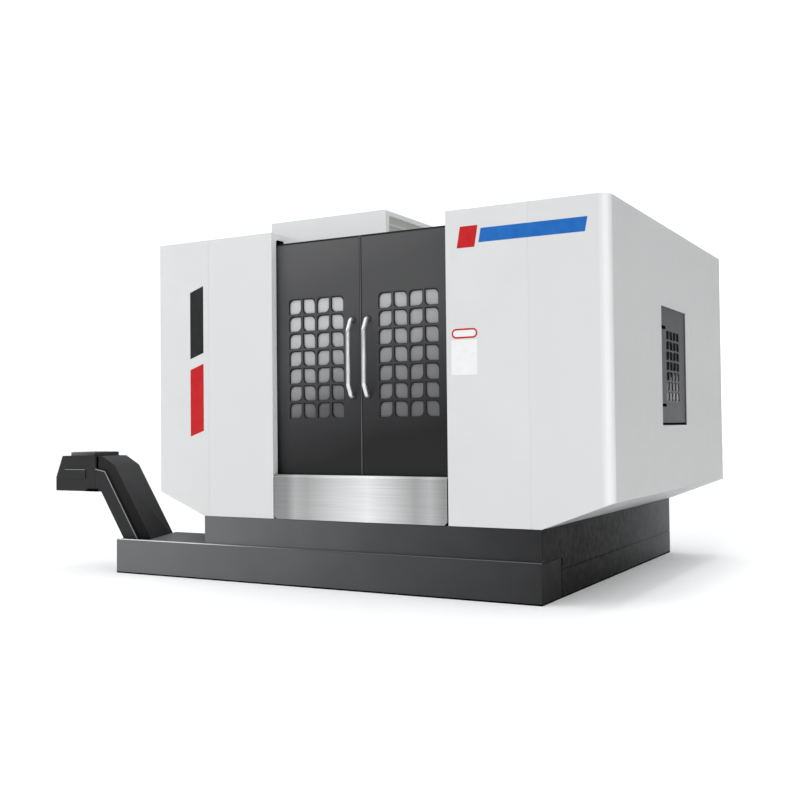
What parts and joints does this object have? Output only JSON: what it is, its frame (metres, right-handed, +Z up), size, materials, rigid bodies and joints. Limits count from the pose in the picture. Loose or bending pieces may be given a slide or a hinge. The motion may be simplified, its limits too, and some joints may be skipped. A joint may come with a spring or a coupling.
{
  "type": "horizontal machining centre",
  "caption": "Horizontal machining centre with sliding front doors, a roof hood, a side window hatch, a rotary table inside and a chip conveyor that climbs out to the left.",
  "frame": {"origin": "on the floor, under the middle of the whole machine's outline", "axes": "+X to the operator's right along the machine and its conveyor, +Y from the doors to the rear, +Z up"},
  "size_m": [5.41, 3.512, 3.117],
  "materials": {
    "white_paint": "satin powder coat",
    "charcoal_paint": "satin powder coat",
    "black_paint": "satin powder coat",
    "stainless": "brushed",
    "tinted_glass": "tinted safety glass",
    "cast_iron": "painted casting",
    "steel": "ground",
    "motor_enamel": "gloss enamel",
    "hood_panel_paint": "satin powder coat"
  },
  "bodies": {
    "machine_frame": {"axis_motors": "motor_enamel", "base_frame": "charcoal_paint", "bed": "charcoal_paint", "conveyor_belt": "steel", "conveyor_case": "black_paint", "conveyor_head": "black_paint", "conveyor_lid": "black_paint", "conveyor_side_plates": "black_paint", "coolant_tank": "charcoal_paint", "door_rails": "steel", "door_wall": "charcoal_paint", "electrical_cabinet": "white_paint", "guide_rails": "steel", "hood": "white_paint", "hood_side_panel": "hood_panel_paint", "kick_panel": "stainless", "left_corner_cover": "white_paint", "left_front_panel": "white_paint", "left_side_cover": "white_paint", "left_underside_cover": "white_paint", "levelling_feet": "steel", "magazine_stand": "cast_iron", "rear_cover": "white_paint", "right_corner_cover": "white_paint", "right_front_panel": "white_paint", "right_side_cover": "white_paint", "right_underside_cover": "white_paint", "roof_front": "white_paint", "roof_left": "white_paint", "roof_right": "white_paint", "screw_bearings": "steel", "side_door_frame": "charcoal_paint"},
    "left_door": {"left_door": "charcoal_paint", "left_door_glass": "tinted_glass", "left_door_handle": "stainless"},
    "right_door": {"right_door": "charcoal_paint", "right_door_glass": "tinted_glass", "right_door_handle": "stainless"},
    "side_hatch": {"side_door": "charcoal_paint", "side_door_glass": "tinted_glass", "side_door_hinges": "black_paint"},
    "cabinet_door": {"cabinet_door": "white_paint"},
    "column": {"column": "cast_iron", "column_carriages": "steel", "vertical_rails": "steel", "vertical_motor": "motor_enamel"},
    "column_screw": {"column_screw": "steel"},
    "headstock": {"headstock": "cast_iron", "headstock_carriages": "steel"},
    "headstock_screw": {"headstock_screw": "steel"},
    "spindle": {"spindle": "steel"},
    "table": {"table_saddle": "cast_iron", "table_carriages": "steel"},
    "table_screw": {"table_screw": "steel"},
    "turntable": {"rotary_table": "cast_iron", "pallet": "cast_iron"},
    "magazine": {"tool_magazine": "steel", "stored_tools": "steel"},
    "tool_arm": {"tool_change_arm": "steel"},
    "conveyor_drum": {"conveyor_drum": "steel"}
  },
  "joints": [
    {"name": "left_door_slide", "type": "slide", "parent": "machine_frame", "child": "left_door", "axis": [-1, 0, 0], "range_m": [0, 0.66]},
    {"name": "right_door_slide", "type": "slide", "parent": "machine_frame", "child": "right_door", "axis": [1, 0, 0], "range_m": [0, 0.66]},
    {"name": "side_hatch_hinge", "type": "hinge", "parent": "machine_frame", "child": "side_hatch", "pos_m": [2.698, -0.406, 1.756], "axis": [0, 0, -1], "range_deg": [0, 95]},
    {"name": "cabinet_door_hinge", "type": "hinge", "parent": "machine_frame", "child": "cabinet_door", "pos_m": [2.299, 1.743, 1.7], "axis": [0, 0, -1], "range_deg": [0, 110]},
    {"name": "column_travel", "type": "slide", "parent": "machine_frame", "child": "column", "axis": [0, 1, 0], "range_m": [-0.4, 0.4]},
    {"name": "column_screw_turn", "type": "hinge", "parent": "machine_frame", "child": "column_screw", "pos_m": [-0.545, -0.244, 0.571], "axis": [0, 1, 0], "range_deg": [-7200, 7200]},
    {"name": "headstock_travel", "type": "slide", "parent": "column", "child": "headstock", "axis": [0, 0, 1], "range_m": [-0.35, 0.45]},
    {"name": "headstock_screw_turn", "type": "hinge", "parent": "column", "child": "headstock_screw", "pos_m": [-0.181, -0.244, 1.5], "axis": [0, 0, 1], "range_deg": [-8100, 8100]},
    {"name": "spindle_turn", "type": "hinge", "parent": "headstock", "child": "spindle", "pos_m": [0.354, -0.244, 1.5], "axis": [1, 0, 0], "continuous": true},
    {"name": "table_travel", "type": "slide", "parent": "machine_frame", "child": "table", "axis": [1, 0, 0], "range_m": [-0.35, 0.35]},
    {"name": "table_screw_turn", "type": "hinge", "parent": "machine_frame", "child": "table_screw", "pos_m": [1.185, -0.244, 0.571], "axis": [1, 0, 0], "range_deg": [-6300, 6300]},
    {"name": "table_turn", "type": "hinge", "parent": "table", "child": "turntable", "pos_m": [1.185, -0.244, 0.9], "axis": [0, 0, 1], "continuous": true},
    {"name": "magazine_turn", "type": "hinge", "parent": "machine_frame", "child": "magazine", "pos_m": [0.265, 1.116, 1.76], "axis": [1, 0, 0], "continuous": true},
    {"name": "arm_swing", "type": "hinge", "parent": "machine_frame", "child": "tool_arm", "pos_m": [0.51, 0.456, 1.76], "axis": [1, 0, 0], "range_deg": [0, 180]},
    {"name": "conveyor_drum_turn", "type": "hinge", "parent": "machine_frame", "child": "conveyor_drum", "pos_m": [-2.54, -1.529, 0.88], "axis": [0, -1, 0], "continuous": true}
  ],
  "couplings": [
    {"joint": "column_screw_turn", "follows": "column_travel", "rad_per_m": 314.16},
    {"joint": "headstock_screw_turn", "follows": "headstock_travel", "rad_per_m": 314.16},
    {"joint": "table_screw_turn", "follows": "table_travel", "rad_per_m": 314.16}
  ]
}
